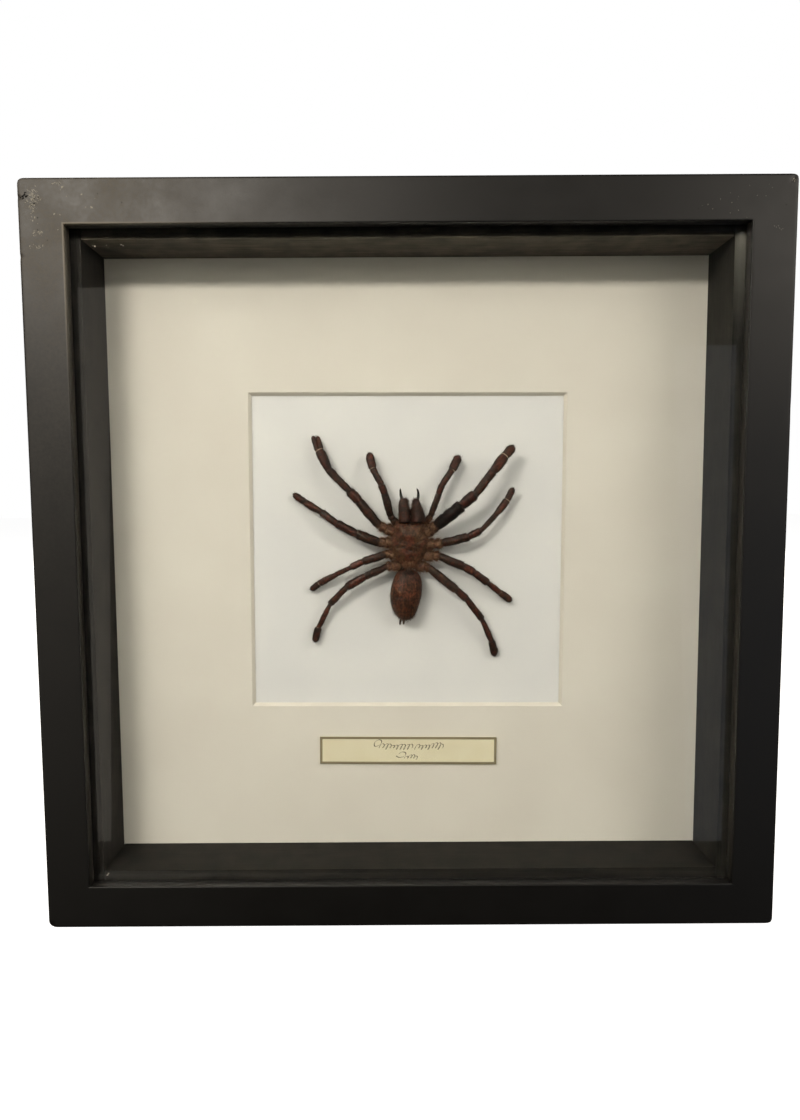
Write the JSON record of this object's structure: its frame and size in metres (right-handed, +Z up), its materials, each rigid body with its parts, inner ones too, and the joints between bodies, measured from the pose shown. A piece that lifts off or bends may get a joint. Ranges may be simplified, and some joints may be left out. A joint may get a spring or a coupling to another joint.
{
  "type": "framed tarantula specimen",
  "caption": "Square black shadow-box frame, glazed, with a cream mat, a bordered label and a dried spread tarantula on a white board.",
  "frame": {"origin": "middle of the bottom of the whole object, on the surface that it stands on", "axes": "+Z up along the frame's height, +Y from the glazed front to the back, +X to the right of a viewer in front"},
  "size_m": [0.3, 0.045, 0.3],
  "materials": {
    "rail_paint": "black satin paint on wood, scuffed at one corner",
    "glass": "clear float glass",
    "spacer_black": "matt black stained strip",
    "mat_cream": "cream matt board, lightly toothed, white core in the cut bevel",
    "label_paper": "aged cream paper with a printed double rule",
    "board_white": "off-white smooth matt board",
    "hardboard": "brown pressed fibreboard",
    "point_steel": "thin bright steel",
    "hanger_brass": "brass plated steel",
    "cuticle_carapace": "dry reddish brown cuticle under short fine hair",
    "cuticle_abdomen": "dry wrinkled dark brown skin under fine hair",
    "cuticle_limb": "dry dark brown cuticle under short dense hair",
    "fang_horn": "polished black horn"
  },
  "bodies": {
    "root": {"frame_rail_top": "rail_paint", "frame_rail_bottom": "rail_paint", "frame_rail_left": "rail_paint", "frame_rail_right": "rail_paint", "glass_pane": "glass", "spacer_top": "spacer_black", "spacer_bottom": "spacer_black", "spacer_left": "spacer_black", "spacer_right": "spacer_black", "mat_board": "mat_cream", "label_card": "label_paper", "specimen_board": "board_white", "back_board": "hardboard", "back_point_top_1": "point_steel", "back_point_top_2": "point_steel", "back_point_bottom_1": "point_steel", "back_point_bottom_2": "point_steel", "back_point_left_1": "point_steel", "back_point_left_2": "point_steel", "back_point_right_1": "point_steel", "back_point_right_2": "point_steel", "hanger": "hanger_brass", "hanger_rivet_left": "hanger_brass", "hanger_rivet_right": "hanger_brass", "carapace": "cuticle_carapace", "abdomen": "cuticle_abdomen", "chelicera_left": "cuticle_limb", "fang_left": "fang_horn", "pedipalp_left": "cuticle_limb", "leg_1_left": "cuticle_limb", "leg_2_left": "cuticle_limb", "leg_3_left": "cuticle_limb", "leg_4_left": "cuticle_limb", "spinneret_left": "cuticle_abdomen", "chelicera_right": "cuticle_limb", "fang_right": "fang_horn", "pedipalp_right": "cuticle_limb", "leg_1_right": "cuticle_limb", "leg_2_right": "cuticle_limb", "leg_3_right": "cuticle_limb", "leg_4_right": "cuticle_limb", "spinneret_right": "cuticle_abdomen"}
  },
  "joints": []
}
